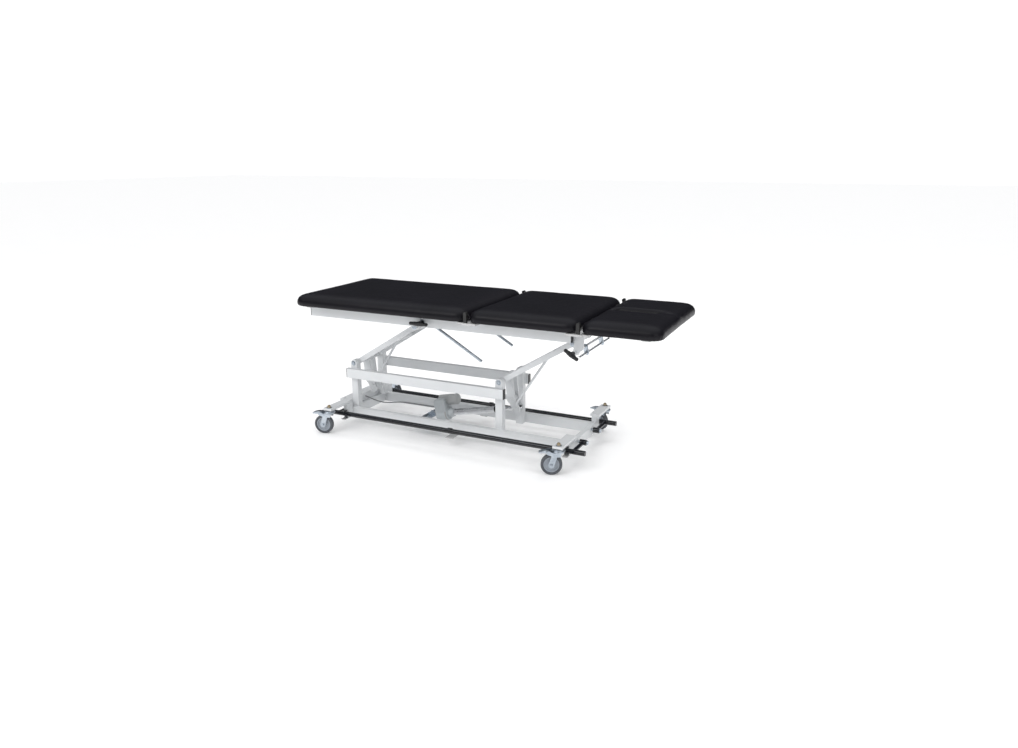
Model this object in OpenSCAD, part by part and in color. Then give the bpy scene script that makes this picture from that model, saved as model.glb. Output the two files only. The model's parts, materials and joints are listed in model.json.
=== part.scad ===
// Examination couch: hi-lo treatment couch with three padded sections on a steel frame.
// X runs along the couch, from the leg end (-X) to the head end (+X). Z is up.
// The origin is on the floor, under the middle of the top.

/* [Top] */
// Length over the three pads
top_l = 1930; // [1880:10:1980]
// Width of the pads
top_w = 686; // [680:2:700]
// Height of the underside of the pads above the floor
top_z = 667; // [667:1:670]
// Length of the leg pad
leg_l = 1000; // [980:5:1005]
// Length of the seat pad
seat_l = 547; // [535:1:550]
// Gap between neighbouring pads
pad_gap = 7; // [7:1:9]
// Height of a pad, with its board
pad_h = 63; // [60:1:65]
// Thickness of the board under a pad
board_t = 12; // [9:1:15]
// Radius of a pad's corners, seen from above
pad_r = 55; // [54:1:60]
// Length of the breathing slot in the head pad
slot_l = 224; // [120:2:230]
// Width of the breathing slot
slot_w = 50; // [30:2:70]

/* [Top frame] */
// Height of a frame tube
tube_h = 50; // [45:1:50]
// Width of a frame tube
tube_w = 25; // [20:1:25]
// Wall of a frame tube
tube_wall = 2; // [1.5:0.5:3]
// Half distance between the inner faces of the top rails
top_rail_y = 230; // [230:1:235]
// Thickness of the flat bars that carry the moving pads
flat_t = 8; // [6:1:8]
// Width of those flat bars
flat_w = 40; // [30:1:40]
// Height of the pad hinges above the underside of the pads
hinge_up = 44; // [44:1:49]

/* [Base] */
// Half distance between the inner faces of the base rails
rail_y = 140; // [140:1:142]
// Height of the underside of the lower rails
low_z = 50; // [48:1:52]
// Height of the underside of the upper rails
high_z = 263; // [262:1:266]
// Height of the top of the caster arms
caster_arm_z = 140; // [140:1:142]
// Thickness of the caster arms
caster_arm_t = 12; // [10:1:12]
// Half distance between the casters, across the couch
caster_y = 327; // [325:1:330]

/* [Lift] */
// Length of a lift arm between its pivots
arm_l = 434; // [430:1:436]
// Slope of the lift arms at rest
arm_slope = 31.5; // [31:0.5:32]
// Height of the lower arm pivots
pivot_z = 340; // [339:1:341]
// Depth of an arm's side tube
arm_h = 28; // [26:1:30]
// Radius of the pivot bolts
bolt_r = 6; // [5:0.5:7]
// Radial clearance of a running fit
fit = 0.05; // [0.02:0.01:0.08]

/* [Casters] */
// Radius of a wheel
wheel_r = 50; // [48:1:50]
// Width of a wheel
wheel_w = 28; // [24:1:30]
// Distance from the swivel axis to the wheel's axle
trail = 32; // [30:1:34]
// Turn of the leg end casters from straight
leg_turn = 15; // [0:1:20]
// Turn of the head end casters from straight
head_turn = 22; // [0:1:25]

/* [Activator bars] */
// Half distance between the activator bars
bar_y = 232; // [231:1:232]
// Height of the activator bars
bar_z = 83; // [82:1:84]
// Radius of the activator bars
bar_r = 12.5; // [11:0.5:12.5]

/* [Hidden] */
$fn = 48;

// Colours
WHITE = [0.86, 0.87, 0.87];
BLACK = [0.06, 0.06, 0.07];
VINYL = [0.07, 0.07, 0.08];
ZINC = [0.66, 0.69, 0.71];
GREY = [0.62, 0.65, 0.67];
PLY = [0.66, 0.5, 0.33];

// Pads, along X
leg_x0 = -top_l / 2;
leg_x1 = leg_x0 + leg_l;
seat_x0 = leg_x1 + pad_gap;
seat_x1 = seat_x0 + seat_l;
head_x0 = seat_x1 + pad_gap;
head_x1 = top_l / 2;
leg_hinge_x = (leg_x1 + seat_x0) / 2;
head_hinge_x = (seat_x1 + head_x0) / 2;
hinge_z = top_z + hinge_up;
slot_x = head_x0 + 42;

// Top frame
rail_top = top_z - flat_t - 1;
rail_bot = rail_top - tube_h;
top_rail_x0 = leg_x0 + 50;
top_rail_x1 = 532;

// Lift linkage: the leg arm and the head arm are parallel
leg_arm_x = -749;
head_arm_x = 116;
rise = [arm_l * cos(arm_slope), arm_l * sin(arm_slope)];
arm_y = 82;
arm_w = 20;
link_pin = [14, -116];
push_pin = [43, -164];
lever_y = 20;
lever_t = 8;
torque_r = 13;
arm_cross = 262;
// Radial play at the leg end's two upper pivots
loose = 0.4;

// Actuator, from its rear pin to the push pin on the head lever
rear_pin = [-334, 73];
push_at = [head_arm_x + push_pin[0], pivot_z + push_pin[1]];
reach = norm(push_at - rear_pin);
tilt = atan2(push_at[1] - rear_pin[1], push_at[0] - rear_pin[0]);
tube_end = 372;
rod_start = 245;
rod_r = 10;

// Base
cross_w = 25;
leg_cross_x = -775;
head_cross_x = 495;
cross_y = 214;
post_w = 38;
post_t = 35;
post_top = pivot_z + 18;
upper_x0 = -779;
upper_x1 = 150;
caster_leg_x = -782;
caster_head_x = 512;
caster_arm_w = 50;
arm_end_y = 344;
arm_under = caster_arm_z - caster_arm_t;
low_top = low_z + tube_h;

// Friction strut of the leg section
strut_pin = [-294, 645];
strut_l = 390;
strut_slope = 30.2;
strut_r = 7;
strut_y = 178;
guide = [-241, 630];
guide_r = 28;

// Release lever at the head end
release = [548, 562];
release_rod = [8, -30];

// Activator bars
bar_x0 = -850;
bar_x1 = 607;
bar_pivot_y = 95;
lever_r = 10;
hub_r = 14;
hub_l = 16;
leg_lever_x = -797;
head_lever_x = 547;

// Casters: name, place and turn
CASTERS = [
    [caster_leg_x, -caster_y, leg_turn], [caster_leg_x, caster_y, -leg_turn],
    [caster_head_x, -caster_y, head_turn], [caster_head_x, caster_y, -head_turn]
];
crown_z = 125;
brake_pin = [-46, 110];

// Route of the actuator's cable, and its radius
cable_r = 3;
CABLE = [
    [-768, -26, 122], [-758, -26, 121], [-746, -22, 116], [-735, -12, 107], [-724, 4, 96],
    [-712, 24, 84], [-700, 48, 73], [-688, 74, 65], [-674, 100, 60], [-656, 120, 58],
    [-634, 131, 58], [-606, 135, 58], [-540, 136, 58], [-460, 136, 58], [-424, 134, 60],
    [-406, 126, 67], [-394, 113, 75], [-382, 99, 83], [-366, 87, 89], [-348, 77, 92],
    [-330, 69, 93], [-314, 61, 92], [-301, 51, 91], [-294, 42, 90]
];

// A rod or hole along Y, from y0 to y1
module rod_y(at, r, y0, y1) {
    translate([at[0], y0, at[1]])
        rotate([-90, 0, 0])
            cylinder(r = r, h = y1 - y0);
}

// A plate across Y with the outline given in X and Z
module plate_y(y0, t) {
    translate([0, y0 + t, 0])
        rotate([90, 0, 0])
            linear_extrude(t)
                children();
}

// A strip with round ends between two points
module strip(p, q, w) {
    d = q - p;
    translate(p) {
        circle(d = w);
        rotate(atan2(d[1], d[0]))
            translate([0, -0.47 * w])
                square([norm(d), 0.94 * w]);
    }
    translate(q)
        circle(d = w);
}

// A rectangular box given by its two corners
module block(low, high) {
    translate(low)
        cube(high - low);
}

// A rectangular tube along X or Y, open at both ends
module tube_x(low, high) {
    difference() {
        block(low, high);
        block(low + [-1, tube_wall, tube_wall], high + [1, -tube_wall, -tube_wall]);
    }
}

module tube_y(low, high) {
    difference() {
        block(low, high);
        block(low + [tube_wall, -1, tube_wall], high + [-tube_wall, 1, -tube_wall]);
    }
}

// The same children on the near and on the far side
module both_sides() {
    children();
    mirror([0, 1, 0])
        children();
}

// ---------- Base ----------

module lower_rail(side) {
    x0 = leg_cross_x + cross_w;
    color(WHITE)
        scale([1, side, 1])
            tube_x([x0, rail_y, low_z], [head_cross_x, rail_y + tube_w, low_top]);
}

module cross_tube(x) {
    color(WHITE)
        tube_y([x, -cross_y, low_z], [x + cross_w, cross_y, low_top]);
}

// A flat arm with a hole for the kingpin, on a riser that stands on the cross tube
module caster_arm(x, cross_x) {
    difference() {
        union() {
            block([x - caster_arm_w / 2, rail_y + tube_w + 3, arm_under],
                  [x + caster_arm_w / 2, arm_end_y, caster_arm_z]);
            block([cross_x, rail_y + tube_w + 3, low_top], [cross_x + cross_w, cross_y, arm_under]);
        }
        translate([x, caster_y, arm_under - 1])
            cylinder(r = bolt_r + fit, h = caster_arm_t + 2);
    }
}

module leg_outrigger() {
    box_x0 = -830;
    box_y = rail_y + tube_w + 4;
    color(WHITE) {
        both_sides() caster_arm(caster_leg_x, leg_cross_x);
        difference() {
            block([box_x0, -box_y, low_top], [leg_arm_x - post_w / 2, box_y, caster_arm_z]);
            block([box_x0 + tube_wall, -box_y + tube_wall, low_top - 1],
                  [leg_cross_x - tube_wall, box_y - tube_wall, caster_arm_z - tube_wall]);
            translate([box_x0 + 20, 6 - box_y + 12, caster_arm_z - 5])
                cylinder(r = 6, h = 10);
        }
    }
}

module head_outriggers() {
    color(WHITE)
        both_sides() caster_arm(caster_head_x, head_cross_x);
}

// A pair of posts with rounded tops, drilled for the arm pivots
module posts(x) {
    z0 = x < 0 ? low_top : low_z;
    color(WHITE)
        both_sides()
            difference() {
                union() {
                    block([x - post_w / 2, rail_y - post_t, z0], [x + post_w / 2, rail_y, pivot_z]);
                    rod_y([x, pivot_z], post_w / 2, rail_y - post_t, rail_y);
                }
                rod_y([x, pivot_z], bolt_r + fit, rail_y - post_t - 1, rail_y + 1);
            }
}

module upper_rail(side) {
    color(WHITE)
        scale([1, side, 1])
            tube_x([upper_x0, rail_y, high_z], [upper_x1, rail_y + tube_w, high_z + tube_h]);
}

// A plastic cap on the end of a tube along X
module tube_cap(x, y0, z0, out) {
    t = 3;
    block([min(x, x + out * t), y0, z0], [max(x, x + out * t), y0 + tube_w, z0 + tube_h]);
}

module rail_caps() {
    color(BLACK)
        both_sides() {
            tube_cap(upper_x0, rail_y, high_z, -1);
            tube_cap(upper_x1, rail_y, high_z, 1);
        }
}

// A caster's kingpin with its washer below and its domed nut above
module kingpins() {
    nut_r = 10;
    nut_h = 8;
    color(ZINC)
        for (c = CASTERS)
            translate([c[0], c[1], 0]) {
                translate([0, 0, crown_z - 14])
                    cylinder(r = bolt_r, h = caster_arm_z - crown_z + 14);
                translate([0, 0, crown_z + 0.4])
                    cylinder(r = 15, h = arm_under - crown_z - 0.4);
                translate([0, 0, caster_arm_z])
                    cylinder(r = nut_r, h = nut_h, $fn = 6);
                translate([0, 0, caster_arm_z + nut_h])
                    cylinder(r1 = nut_r - 2, r2 = 3, h = 4);
            }
}

module lower_pivot_bolts() {
    head_r = 9;
    head_h = 5;
    y0 = arm_y + 1;
    y1 = rail_y;
    color(ZINC)
        both_sides()
            for (x = [leg_arm_x, head_arm_x]) {
                rod_y([x, pivot_z], bolt_r, y0, y1);
                rod_y([x, pivot_z], head_r, y1, y1 + head_h);
            }
}

// Bolts along X, from the cross tubes, for the arms of the activator bars
module bar_pivot_bolts() {
    gap = 3;
    color(ZINC)
        both_sides()
            translate([0, bar_pivot_y, 0]) {
                rod_x(leg_lever_x - hub_l - gap, leg_cross_x, bolt_r, bar_z);
                rod_x(leg_lever_x - hub_l - gap - 5, leg_lever_x - hub_l - gap, 10, bar_z);
                rod_x(head_cross_x + cross_w, head_lever_x + hub_l + gap, bolt_r, bar_z);
                rod_x(head_lever_x + hub_l + gap, head_lever_x + hub_l + gap + 5, 10, bar_z);
            }
}

module actuator_mount() {
    ear_y = 13;
    ear_t = 6;
    x0 = rear_pin[0] - 39;
    color(ZINC) {
        block([x0, -rail_y, low_z], [x0 + cross_w, rail_y, low_z + 25]);
        both_sides()
            plate_y(ear_y, ear_t)
                strip([x0 + cross_w - 12, rear_pin[1] - 3], rear_pin, 26);
        rod_y(rear_pin, bolt_r, -ear_y - 14, ear_y + 14);
    }
}

// Tongues under the activator bars that stop their travel
module bar_stops() {
    t = 4;
    mid_x = -114;
    color(GREY)
        both_sides() {
            for (x = [leg_cross_x, head_cross_x])
                block([x, cross_y, low_z], [x + cross_w, cross_y + 26, low_z + t]);
            block([mid_x - 20, rail_y, low_z - t], [mid_x + 20, bar_y + 12, low_z]);
        }
}

// A round tube swept along a list of points
function ring(p, q, s, r, n) =
    let (d = q - s, u = cross(d, [0, 0, 1]), a = u / norm(u), b = cross(a, d / norm(d)))
    [for (k = [0 : n - 1]) p + r * (a * cos(360 * k / n) + b * sin(360 * k / n))];

module sweep(points, r, n) {
    last = len(points) - 1;
    rings = [for (i = [0 : last]) each ring(points[i], points[min(i + 1, last)], points[max(i - 1, 0)], r, n)];
    sides = [for (i = [0 : last - 1], k = [0 : n - 1])
        [i * n + k, i * n + (k + 1) % n, (i + 1) * n + (k + 1) % n, (i + 1) * n + k]];
    start = [for (k = [0 : n - 1]) n - 1 - k];
    end = [for (k = [0 : n - 1]) last * n + k];
    polyhedron(points = rings, faces = concat([start, end], sides), convexity = 8);
}

module actuator_cable() {
    color(BLACK)
        sweep(CABLE, cable_r, 8);
}

// ---------- Lift linkage ----------

// Two side tubes joined by round cross tubes, pivoted at both ends
module lift_arm(x, play) {
    color(WHITE)
        translate([x, 0, pivot_z])
            rotate([0, -arm_slope, 0]) {
                both_sides()
                    difference() {
                        plate_y(arm_y, arm_w)
                            strip([0, 0], [arm_l, 0], arm_h);
                        rod_y([0, 0], bolt_r + fit, arm_y - 1, arm_y + arm_w + 1);
                        rod_y([arm_l, 0], bolt_r + play, arm_y - 1, arm_y + arm_w + 1);
                    }
                rod_y([0, 0], torque_r, -arm_y, arm_y);
                for (s = [arm_cross, arm_l - 45])
                    rod_y([s, 0], 12, -arm_y, arm_y);
            }
}

// Two plates that hang from an arm's torque tube, with a brace up to the arm
module lift_lever(x, pushed) {
    head_r = 9;
    brace_y = -lever_y - lever_t - 2;
    brace_foot = [40, -140];
    brace_top = arm_cross * [cos(arm_slope), sin(arm_slope)];
    brace = brace_top - brace_foot;
    color(WHITE)
        translate([x, 0, pivot_z]) {
            both_sides()
                difference() {
                    plate_y(lever_y, lever_t) {
                        strip([0, 0], link_pin, 46);
                        strip(link_pin, push_pin, 40);
                    }
                    rod_y([0, 0], torque_r, lever_y - 1, lever_y + lever_t + 1);
                }
            rod_y(link_pin, bolt_r, -lever_y, lever_y);
            both_sides()
                for (p = pushed ? [link_pin, push_pin] : [link_pin])
                    rod_y(p, head_r, lever_y + lever_t, lever_y + lever_t + 4);
            translate([brace_foot[0], brace_y, brace_foot[1]])
                rotate([0, 90 - atan2(brace[1], brace[0]), 0])
                    cylinder(r = 6, h = norm(brace) - 12);
        }
}

module link_rod() {
    z = pivot_z + link_pin[1];
    x0 = leg_arm_x + link_pin[0];
    x1 = head_arm_x + link_pin[0];
    eye_r = 18;
    eye_y = 14;
    color(WHITE)
        difference() {
            union() {
                for (x = [x0, x1])
                    rod_y([x, z], eye_r, -eye_y, eye_y);
                translate([x0 + 10, 0, z])
                    rotate([0, 90, 0])
                        cylinder(r = 12.5, h = x1 - x0 - 20);
            }
            rod_y([x0, z], bolt_r + loose, -eye_y - 1, eye_y + 1);
            rod_y([x1, z], bolt_r + fit, -eye_y - 1, eye_y + 1);
        }
}

// Places children with +X along the actuator, from its rear pin
module along_actuator() {
    translate([rear_pin[0], 0, rear_pin[1]])
        rotate([0, -tilt, 0])
            children();
}

module rod_x(x0, x1, r, z = 0) {
    translate([x0, 0, z])
        rotate([0, 90, 0])
            cylinder(r = r, h = x1 - x0);
}

module actuator_motor() {
    motor_up = 68;
    motor_back = 16;
    color(GREY)
        along_actuator()
            difference() {
                union() {
                    rod_y([0, 0], 13, -12, 12);
                    block([0, -12, -12], [30, 12, 12]);
                    rod_x(22, 96, 38);
                    translate([0, motor_back, 0])
                        rod_x(40, 156, 29, motor_up);
                    block([22, -34, 0], [92, 36, 84]);
                    rod_x(96, 124, 25);
                }
                rod_y([0, 0], bolt_r + fit, -13, 13);
                rod_x(124 - 20, 125, 17);
            }
}

module actuator_tube() {
    color(ZINC)
        along_actuator()
            difference() {
                rod_x(104, tube_end, 17);
                rod_x(120, tube_end + 1, rod_r + fit);
            }
}

module actuator_rod() {
    color(ZINC)
        along_actuator() {
            rod_x(rod_start, reach - 8, rod_r);
            rod_y([reach, 0], 16, -14, 14);
        }
}

// ---------- Top frame ----------

module top_rail(side) {
    color(WHITE)
        difference() {
            scale([1, side, 1])
                tube_x([top_rail_x0, top_rail_y, rail_bot], [top_rail_x1, top_rail_y + tube_w, rail_top]);
            if (side < 0)
                rod_y(guide, strut_r + fit, -top_rail_y - tube_w - 1, -top_rail_y + 1);
        }
}

module top_cross_tubes() {
    inset = 10;
    color(WHITE) {
        for (x = [top_rail_x0 + 20, leg_arm_x + rise[0] - cross_w / 2, -25])
            tube_y([x, -top_rail_y, rail_bot], [x + cross_w, top_rail_y, rail_top]);
        for (x = [head_arm_x + rise[0] - cross_w / 2, 540])
            tube_y([x, -top_rail_y + inset, rail_bot], [x + cross_w, top_rail_y - inset, rail_top]);
    }
}

// Ears under a cross tube with bolts for the upper pivots of an arm
module arm_brackets(x) {
    ear_y = arm_y + arm_w + 2;
    ear_t = 6;
    pivot = [x + rise[0], pivot_z + rise[1]];
    color(WHITE)
        both_sides() {
            plate_y(ear_y, ear_t)
                difference() {
                    strip(pivot, [pivot[0], rail_bot - 17], 34);
                    translate([pivot[0] - 20, rail_bot])
                        square([40, 40]);
                }
            rod_y(pivot, bolt_r, arm_y - 2, ear_y);
            rod_y(pivot, 9, ear_y + ear_t, ear_y + ear_t + 5);
        }
}

module top_rail_caps() {
    color(BLACK)
        both_sides() {
            tube_cap(top_rail_x0, top_rail_y, rail_bot, -1);
            tube_cap(top_rail_x1, top_rail_y, rail_bot, 1);
        }
}

// A plate at the head end that carries the release shaft
module end_bracket(side) {
    t = 10;
    y0 = top_rail_y - t;
    drop_x = 560;
    color(WHITE)
        scale([1, side, 1])
            difference() {
                plate_y(y0, t) {
                    translate([475, rail_bot + 4])
                        square([drop_x + 24 - 475, tube_h - 8]);
                    strip([drop_x, rail_bot + 22], [drop_x, rail_bot - 20], 48);
                    strip(release, [drop_x - 4, rail_bot - 10], 32);
                }
                rod_y(release, bolt_r + fit, y0 - 1, y0 + t + 1);
            }
}

// A disc on each side of each strut: the outer near one is on the lock handle
module strut_guides() {
    t = 5;
    y0 = strut_y - strut_r - 2 - t;
    foot_x = -345;
    color(ZINC) {
        both_sides() {
            plate_y(y0, t) {
                translate(guide)
                    circle(r = guide_r);
                translate([foot_x, rail_bot])
                    square([guide[0] - foot_x, 20]);
            }
            block([foot_x, y0, rail_bot], [foot_x + 20, top_rail_y, rail_bot + 20]);
        }
        rod_y(guide, guide_r, strut_y + strut_r + 1, strut_y + strut_r + 6);
        rod_y(guide, strut_r, strut_y + strut_r + 6, top_rail_y);
    }
}

// ---------- Sections ----------

// A rounded rectangle from x0 to x1 across the couch, drawn in from the pad's outline
module outline(x0, x1, in) {
    r = pad_r - in;
    w = top_w / 2 - in;
    translate([x0 + in, r - w])
        square([x1 - x0 - 2 * in, 2 * (w - r)]);
    translate([x0 + pad_r, -w])
        square([x1 - x0 - 2 * pad_r, 2 * w]);
    for (x = [x0 + pad_r, x1 - pad_r], y = [r - w, w - r])
        translate([x, y])
            circle(r = r);
}

module pad(x0, x1) {
    edge = 12;
    z0 = top_z + board_t;
    z1 = top_z + pad_h;
    hull() {
        translate([0, 0, z0])
            linear_extrude(z1 - z0 - edge)
                outline(x0, x1, 0, $fn = 32);
        translate([0, 0, z0])
            linear_extrude(z1 - z0)
                outline(x0, x1, edge, $fn = 32);
    }
}

module board(x0, x1) {
    color(PLY)
        translate([0, 0, top_z])
            linear_extrude(board_t)
                outline(x0, x1, 4);
}

module slot(spread, z0, z1) {
    r = slot_w / 2 + spread;
    translate([0, 0, z0])
        linear_extrude(z1 - z0)
            strip([slot_x + slot_w / 2, 0], [slot_x + slot_l - slot_w / 2, 0], 2 * r);
}

// Flat bars along and across a section. The hinge bar reaches out to the lugs.
module flats(x0, x1, bars, z0) {
    along_y = 170;
    both_sides()
        block([x0, along_y, z0], [x1, along_y + flat_w, top_z]);
    for (b = bars)
        block([b[0], -b[1], z0], [b[0] + flat_w, b[1], top_z]);
}

// An upright hinge lug, with a bore or with a pin
module lug(x, y0, z0) {
    t = 6;
    plate_y(y0, t) {
        translate([x - lug_r, z0])
            square([2 * lug_r, hinge_z - z0]);
        translate([x, hinge_z])
            circle(r = lug_r);
    }
}

lug_y = 322;
lug_t = 6;
lug_r = 8;
pin_r = 5;
fixed_z = rail_top;
moving_z = rail_top + 1;

module seat_deck() {
    reach_y = lug_y + 2 * lug_t + 2;
    color(GREY) {
        flats(leg_hinge_x + 14, head_hinge_x - 18, [[leg_hinge_x + 14, reach_y], [270, 210],
            [head_hinge_x - 18 - flat_w, reach_y]], fixed_z);
        both_sides()
            for (x = [leg_hinge_x, head_hinge_x]) {
                lug(x, lug_y + lug_t + 2, fixed_z);
                block([x - 20, lug_y + lug_t + 2, fixed_z], [x + 20, reach_y, top_z - 0.5]);
                rod_y([x, hinge_z], pin_r, lug_y - 2, lug_y + lug_t + 3);
                rod_y([x, hinge_z], pin_r + 3, lug_y - 5, lug_y - 1);
            }
    }
}

module seat_board() board(seat_x0, seat_x1);

module seat_pad() color(VINYL) pad(seat_x0, seat_x1);

// Lugs of a moving section, drilled for the hinge pins
module moving_lugs(x) {
    both_sides()
        lug(x, lug_y, moving_z);
}

module pin_holes(x) {
    both_sides()
        rod_y([x, hinge_z], pin_r + fit, lug_y - 1, lug_y + lug_t + 1);
}

module leg_deck() {
    ear_y = 193;
    ear_t = 6;
    color(GREY)
        difference() {
            union() {
                flats(leg_x0 + 40, leg_x1 - 1, [[leg_x0 + 60, 300], [-420, 210],
                    [leg_hinge_x - 4 - flat_w, lug_y + lug_t]], moving_z);
                moving_lugs(leg_hinge_x);
                both_sides()
                    plate_y(ear_y, ear_t)
                        strip(strut_pin, [strut_pin[0], moving_z - 4], 24);
            }
            pin_holes(leg_hinge_x);
            both_sides()
                rod_y(strut_pin, 8 + fit, ear_y - 1, ear_y + ear_t + 1);
            block([strut_pin[0] - 20, -220, top_z], [strut_pin[0] + 20, 220, top_z + 30]);
        }
}

module leg_board() board(leg_x0, leg_x1);

module leg_pad() color(VINYL) pad(leg_x0, leg_x1);

// Two sliding struts on a cross tube that turns in the ears of the leg deck
module strut_pair() {
    color(ZINC) {
        rod_y(strut_pin, 8, -202, 202);
        both_sides()
            translate([strut_pin[0], strut_y, strut_pin[1]])
                rotate([0, 90 + strut_slope, 0])
                    cylinder(r = strut_r, h = strut_l);
    }
}

module head_deck() {
    color(GREY)
        difference() {
            union() {
                flats(head_x0 + 2, head_x1 - 60, [[head_x0 + 2, lug_y + lug_t],
                    [head_x1 - 100, 300]], moving_z);
                moving_lugs(head_hinge_x);
            }
            pin_holes(head_hinge_x);
        }
}

module head_board() {
    color(PLY)
        difference() {
            board(head_x0, head_x1);
            slot(3, top_z - 1, top_z + board_t + 1);
        }
}

module head_pad() {
    color(VINYL)
        difference() {
            pad(head_x0, head_x1);
            slot(0, top_z, top_z + pad_h + 1);
        }
}

// ---------- Handles and bars ----------

// A bar with stepped ends across the end of a shaft
module t_grip(at, y, slope, half, r) {
    translate([at[0], y, at[1]])
        rotate([0, slope, 0]) {
            rod_x(-half, half, r);
            rod_x(-half - r / 2, half + r / 2, 0.7 * r);
        }
}

module leg_lock_handle() {
    y_out = -290;
    color(BLACK) {
        t_grip(guide, y_out, 0, 48, 10);
        rod_y(guide, 12, y_out, -top_rail_y - tube_w - 3);
    }
    color(ZINC) {
        rod_y(guide, strut_r, -top_rail_y - tube_w - 4, -strut_y - strut_r - 6);
        rod_y(guide, guide_r, -strut_y - strut_r - 6, -strut_y - strut_r - 1);
    }
}

module head_release_lever() {
    y_out = -290;
    far = release + release_rod;
    color(BLACK) {
        t_grip(release, y_out, 33, 36, 9);
        rod_y(release, 11, y_out, y_out + 24);
    }
    color(ZINC) {
        rod_y(release, bolt_r, y_out + 20, top_rail_y + 6);
        rod_y(far, bolt_r, -top_rail_y + 16, top_rail_y - 16);
        both_sides()
            plate_y(104, 6)
                strip(release, far, 24);
    }
}

// A bar along the couch with two arms that pivot under the base
module activator_bar(side) {
    color(BLACK)
        scale([1, side, 1])
            difference() {
                union() {
                    translate([0, bar_y, 0])
                        rod_x(bar_x0, bar_x1, bar_r, bar_z);
                    for (x = [leg_lever_x, head_lever_x]) {
                        rod_y([x, bar_z], lever_r, bar_pivot_y + 5, bar_y);
                        translate([0, bar_pivot_y, 0])
                            rod_x(x - hub_l, x + hub_l, hub_r, bar_z);
                    }
                    for (x = [leg_cross_x + 10, -114])
                        block([x - 12, bar_y - 10.5, bar_z], [x + 12, bar_y + 10.5, bar_z + 13.4]);
                }
                for (x = [leg_lever_x, head_lever_x])
                    translate([0, bar_pivot_y, 0])
                        rod_x(x - 30, x + 30, bolt_r + fit, bar_z);
            }
}

// ---------- Casters ----------

module at_caster(i) {
    translate([CASTERS[i][0], CASTERS[i][1], 0])
        rotate(CASTERS[i][2])
            children();
}

module fork(i) {
    axle = [-trail, wheel_r];
    leg_y = wheel_w / 2 + 4;
    leg_t = 3;
    color(ZINC)
        at_caster(i)
            difference() {
                union() {
                    translate([0, 0, crown_z - 17])
                        cylinder(r = 25, h = 17);
                    block([-36, -leg_y - leg_t, crown_z - 20], [12, leg_y + leg_t, crown_z - 14]);
                    both_sides() {
                        plate_y(leg_y, leg_t) {
                            strip(axle, [-18, crown_z - 28], 28);
                            translate([-30, crown_z - 34])
                                square([42, 16]);
                            strip([-24, crown_z - 24], brake_pin, 19);
                        }
                        rod_y(axle, 8, leg_y + leg_t, leg_y + leg_t + 4);
                    }
                    rod_y(axle, 5, -leg_y - 1, leg_y + 1);
                    rod_y(brake_pin, 4, -leg_y - 1, leg_y + 1);
                }
                translate([0, 0, crown_z - 30])
                    cylinder(r = bolt_r + fit, h = 40);
            }
}

// Tyre and hub, turned about the axle
module wheel(i) {
    edge = 5;
    w = wheel_w / 2;
    color(GREY)
        at_caster(i)
            translate([-trail, 0, wheel_r])
                rotate([90, 0, 0])
                    rotate_extrude($fn = 96)
                        polygon([[5 + fit, -w - 2], [13, -w - 2], [14, -w + 5], [34, -w + 5], [36, -w + 1],
                            [wheel_r - edge, -w], [wheel_r, -w + edge], [wheel_r, w - edge],
                            [wheel_r - edge, w], [36, w - 1], [34, w - 5], [14, w - 5], [13, w + 2],
                            [5 + fit, w + 2]]);
}

// Toe pedal that turns on the fork and presses on the tyre
module brake(i) {
    half = wheel_w / 2 + 2;
    color(BLACK)
        at_caster(i)
            difference() {
                plate_y(-half, 2 * half) {
                    translate(brake_pin)
                        circle(r = 8);
                    polygon([[-46, 117.5], [-62, 122], [-76, 118], [-92, 112], [-92, 107], [-76, 106],
                        [-58, 106], [-46, 103]]);
                }
                rod_y(brake_pin, 4 + fit, -half - 1, half + 1);
            }
}

lower_rail(-1);  // lower_rail_near
lower_rail(1);  // lower_rail_far
cross_tube(leg_cross_x);  // leg_cross_tube
cross_tube(head_cross_x);  // head_cross_tube
leg_outrigger();
head_outriggers();
posts(leg_arm_x);  // leg_posts
posts(head_arm_x);  // head_posts
upper_rail(-1);  // upper_rail_near
upper_rail(1);  // upper_rail_far
rail_caps();
kingpins();
lower_pivot_bolts();
bar_pivot_bolts();
actuator_mount();
bar_stops();
actuator_cable();
lift_arm(leg_arm_x, loose);  // leg_arm
lift_lever(leg_arm_x, false);  // leg_lever
lift_arm(head_arm_x, fit);  // head_arm
lift_lever(head_arm_x, true);  // head_lever
link_rod();
actuator_motor();
actuator_tube();
actuator_rod();
top_rail(-1);  // top_rail_near
top_rail(1);  // top_rail_far
top_cross_tubes();
arm_brackets(leg_arm_x);  // leg_arm_brackets
arm_brackets(head_arm_x);  // head_arm_brackets
top_rail_caps();
end_bracket(-1);  // end_bracket_near
end_bracket(1);  // end_bracket_far
strut_guides();
seat_deck();
seat_board();
seat_pad();
leg_deck();
leg_board();
leg_pad();
strut_pair();
head_deck();
head_board();
head_pad();
leg_lock_handle();
head_release_lever();
activator_bar(-1);  // near_bar
activator_bar(1);  // far_bar
for (i = [0 : 3]) {
    fork(i);
    wheel(i);
    brake(i);
}
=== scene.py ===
import json
import math
import bmesh
import bpy
from mathutils import Matrix, Vector


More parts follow.
